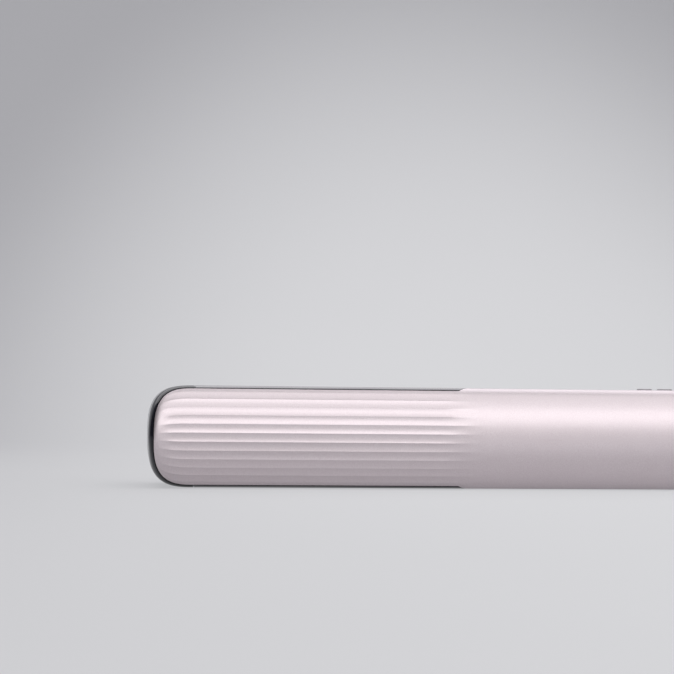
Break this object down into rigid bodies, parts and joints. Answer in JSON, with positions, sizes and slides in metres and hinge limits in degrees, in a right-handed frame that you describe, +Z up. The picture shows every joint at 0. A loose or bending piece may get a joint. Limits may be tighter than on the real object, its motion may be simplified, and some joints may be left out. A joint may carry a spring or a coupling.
{
  "type": "hot air straightener",
  "caption": "Hair straightener that dries with hot air: two hinged fluted arms with slotted outlets on a blower base with a pull-off filter cage.",
  "frame": {"origin": "centre of the bounding box in X and Y, at the level of the flat narrow side that it rests on", "axes": "+X along the body from the tips to the filter cage, +Y from the front arm to the rear arm, +Z up across the arms' width, towards the buttons"},
  "size_m": [0.2999, 0.062, 0.0423],
  "materials": {
    "pearl_shell": "satin pearl paint with a faint rose tone",
    "black_gloss": "polished black",
    "dark_gloss": "glossy near-black that mirrors its surroundings",
    "dark_matte": "fine matte grain",
    "bar_aluminium": "satin anodised",
    "steel": "plain bright steel",
    "heater_board": "pale mica board",
    "circuit_board": "green solder mask",
    "button_grey": "satin grey",
    "rubber": "matte black",
    "filter_mesh": "fine woven mesh",
    "cage_metal": "satin rose-grey anodised"
  },
  "bodies": {
    "base": {"base_housing": "pearl_shell", "hinge_frame": "dark_matte", "front_hinge_pin": "steel", "rear_hinge_pin": "steel", "front_hinge_spring": "steel", "rear_hinge_spring": "steel", "blower_motor": "steel", "motor_mount": "rubber", "main_board": "circuit_board", "inlet_frame": "dark_matte", "front_base_screw": "steel", "rear_base_screw": "steel", "cable_gland": "rubber", "fine_filter": "filter_mesh"},
    "front_arm": {"front_shell": "pearl_shell", "front_tip_cap": "black_gloss", "front_side_frame": "dark_gloss", "front_handle_frame": "dark_matte", "front_nozzle": "dark_matte", "front_upper_bar": "bar_aluminium", "front_lower_bar": "bar_aluminium", "front_air_duct": "dark_matte", "front_heater": "heater_board", "front_thermal_cutout": "steel", "front_screw_1": "steel", "front_screw_2": "steel", "front_screw_3": "steel", "control_board": "circuit_board", "display_lens": "black_gloss"},
    "rear_arm": {"rear_shell": "pearl_shell", "rear_tip_cap": "black_gloss", "rear_side_frame": "dark_gloss", "rear_handle_frame": "dark_matte", "rear_nozzle": "dark_matte", "rear_upper_bar": "bar_aluminium", "rear_lower_bar": "bar_aluminium", "rear_air_duct": "dark_matte", "rear_heater": "heater_board", "rear_thermal_cutout": "steel", "rear_screw_1": "steel", "rear_screw_2": "steel", "rear_screw_3": "steel"},
    "heat_up": {"heat_up_button": "button_grey"},
    "heat_down": {"heat_down_button": "button_grey"},
    "mode": {"mode_button": "button_grey"},
    "power": {"power_button": "button_grey"},
    "arm_lock": {"lock_blade": "steel", "lock_knob": "button_grey"},
    "filter_cage": {"filter_cage": "cage_metal"},
    "fan": {"fan_impeller": "dark_matte"}
  },
  "joints": [
    {"name": "front_arm_hinge", "type": "hinge", "parent": "base", "child": "front_arm", "pos_m": [0.086, -0.018, 0.02], "axis": [0, 0, 1], "range_deg": [0, 9], "stiffness_Nm_per_rad": 1, "springref_deg": 28.65, "deforming": ["front_hinge_spring"]},
    {"name": "rear_arm_hinge", "type": "hinge", "parent": "base", "child": "rear_arm", "pos_m": [0.086, 0.018, 0.02], "axis": [0, 0, 1], "range_deg": [-9, 0], "stiffness_Nm_per_rad": 1, "springref_deg": -28.65, "deforming": ["rear_hinge_spring"]},
    {"name": "arm_lock_slide", "type": "slide", "parent": "base", "child": "arm_lock", "axis": [-1, 0, 0], "range_m": [0, 0.0045]},
    {"name": "heat_up_press", "type": "slide", "parent": "front_arm", "child": "heat_up", "axis": [0, 0, -1], "range_m": [0, 0.0006], "stiffness_N_per_m": 800},
    {"name": "heat_down_press", "type": "slide", "parent": "front_arm", "child": "heat_down", "axis": [0, 0, -1], "range_m": [0, 0.0006], "stiffness_N_per_m": 800},
    {"name": "mode_press", "type": "slide", "parent": "front_arm", "child": "mode", "axis": [0, 0, -1], "range_m": [0, 0.0006], "stiffness_N_per_m": 800},
    {"name": "power_press", "type": "slide", "parent": "front_arm", "child": "power", "axis": [0, 0, -1], "range_m": [0, 0.0006], "stiffness_N_per_m": 800},
    {"name": "filter_cage_slide", "type": "slide", "parent": "base", "child": "filter_cage", "axis": [1, 0, 0], "range_m": [0, 0.024]},
    {"name": "fan_spin", "type": "hinge", "parent": "base", "child": "fan", "pos_m": [0.11, 0, 0.02], "axis": [1, 0, 0], "continuous": true}
  ],
  "couplings": [
    {"joint": "rear_arm_hinge", "follows": "front_arm_hinge", "ratio": -1}
  ]
}
